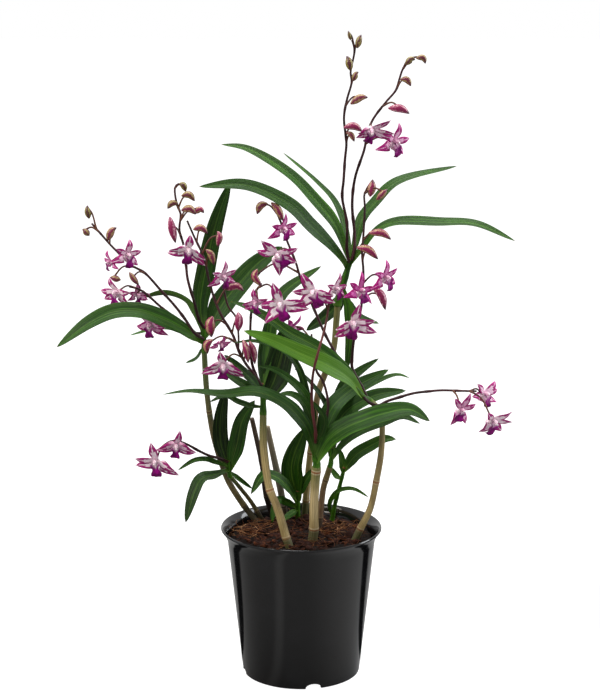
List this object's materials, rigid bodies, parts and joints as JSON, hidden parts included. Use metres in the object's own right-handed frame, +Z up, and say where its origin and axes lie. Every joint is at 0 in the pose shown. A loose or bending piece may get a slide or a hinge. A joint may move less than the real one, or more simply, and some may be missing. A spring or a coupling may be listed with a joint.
{
  "type": "potted rock orchid",
  "caption": "Pink rock orchid in flower in a glossy black round plastic nursery pot, with tan canes, strap leaves and dark stalks of pink and magenta blooms.",
  "frame": {"origin": "Middle of the bounding box's bottom face, on the plane the pot stands on; the pot's axis stands 12.6 mm to +X of it.", "axes": "+X to the right and -Y towards the viewer when the side seen in the picture is looked at, +Z up along the pot's axis. Metres."},
  "size_m": [0.3536, 0.13, 0.5181],
  "materials": {
    "black_plastic": "Smooth glossy black nursery pot plastic with soft grey reflections.",
    "coir_mix": "Rough dark red-brown coir and bark chips with lighter orange fibres.",
    "tan_cane": "Dull tan cane with fine lengthwise ribs and brown rings, olive towards the top.",
    "dark_cane": "Old dark brown cane with dry grey sheath remains.",
    "papery_cane": "Dry grey papery sheaths around an old cane.",
    "olive_cane": "Olive to tan cane with fine ribs and pale rings.",
    "green_leaf": "Leathery dark green leaf with a soft gloss, a sunken midrib and fine parallel veins.",
    "bright_leaf": "Leathery fresh green leaf with a soft gloss and fine parallel veins.",
    "dark_stalk": "Thin smooth dark purple-brown flower stalk with olive and magenta striped buds.",
    "red_stalk": "Thin smooth reddish flower stalk.",
    "petals": "Soft satin petals, pale pink to white with magenta edges, stripes and blotches and a deep magenta lip."
  },
  "bodies": {
    "root": {"pot": "black_plastic", "potting_mix": "coir_mix", "cane_brown": "dark_cane", "cane_curved_right": "tan_cane", "cane_left": "olive_cane", "cane_papery": "papery_cane", "cane_stub": "dark_cane", "cane_tall": "tan_cane", "cane_tan_front": "tan_cane", "cane_thick_front": "tan_cane", "cane_thin": "olive_cane", "foliage_brown": "green_leaf", "foliage_centre": "green_leaf", "foliage_front": "green_leaf", "foliage_left": "green_leaf", "foliage_low_left": "green_leaf", "foliage_middle_shoot": "bright_leaf", "foliage_right": "bright_leaf", "foliage_right_shoot": "bright_leaf", "foliage_top": "green_leaf", "stalk_centre": "dark_stalk", "stalk_far_left": "dark_stalk", "stalk_far_left_low": "dark_stalk", "stalk_far_right": "dark_stalk", "stalk_hidden": "dark_stalk", "stalk_inner": "dark_stalk", "stalk_low_left": "dark_stalk", "stalk_mid_left": "dark_stalk", "stalk_red": "red_stalk", "stalk_right": "dark_stalk", "stalk_top": "dark_stalk", "stalk_top_right": "dark_stalk", "stalk_upper_left": "dark_stalk", "bloom_01": "petals", "bloom_02": "petals", "bloom_03": "petals", "bloom_04": "petals", "bloom_05": "petals", "bloom_06": "petals", "bloom_07": "petals", "bloom_08": "petals", "bloom_09": "petals", "bloom_10": "petals", "bloom_11": "petals", "bloom_12": "petals", "bloom_13": "petals", "bloom_14": "petals", "bloom_15": "petals", "bloom_16": "petals", "bloom_17": "petals", "bloom_18": "petals", "bloom_19": "petals", "bloom_20": "petals", "bloom_21": "petals", "bloom_22": "petals", "bloom_23": "petals", "bloom_24": "petals", "bloom_25": "petals", "bloom_26": "petals"}
  },
  "joints": []
}
